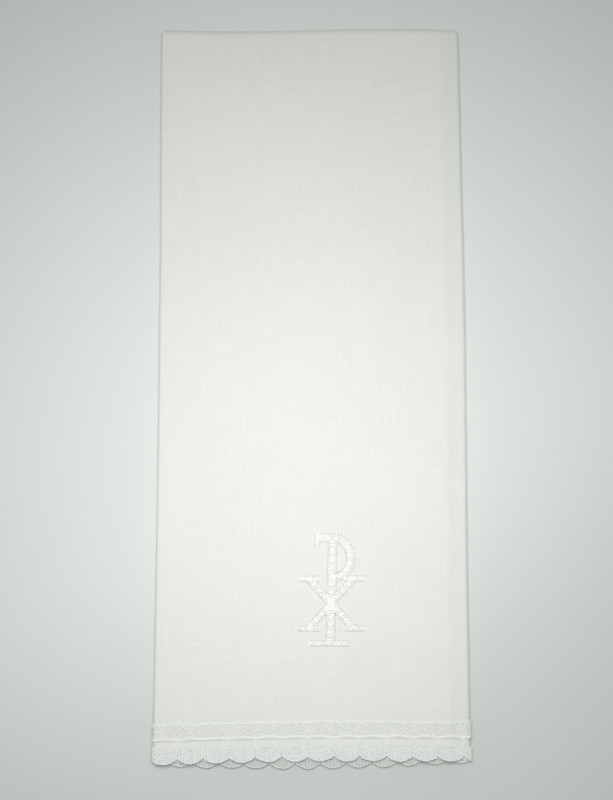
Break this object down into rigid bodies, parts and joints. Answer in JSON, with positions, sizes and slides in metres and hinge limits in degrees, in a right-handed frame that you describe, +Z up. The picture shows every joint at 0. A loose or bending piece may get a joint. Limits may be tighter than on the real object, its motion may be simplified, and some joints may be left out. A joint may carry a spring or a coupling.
{
  "type": "folded purificator",
  "caption": "Folded white altar linen for wiping a chalice, with scalloped cotton lace along its short ends, lying flat.",
  "frame": {"origin": "middle of the folded cloth's footprint, on the surface that it lies on", "axes": "+Y towards the top fold and away from the laced ends, +Z up out of the display face, +X to the right as the display face is seen"},
  "size_m": [0.1012, 0.2424, 0.0077],
  "materials": {
    "linen": "fine white plain weave, pressed, matt",
    "lace": "white cotton bobbin lace, matt",
    "embroidery": "white satin-stitch thread with a soft sheen"
  },
  "bodies": {
    "root": {"cloth": "linen", "lace_front": "lace", "lace_back": "lace"}
  },
  "joints": []
}
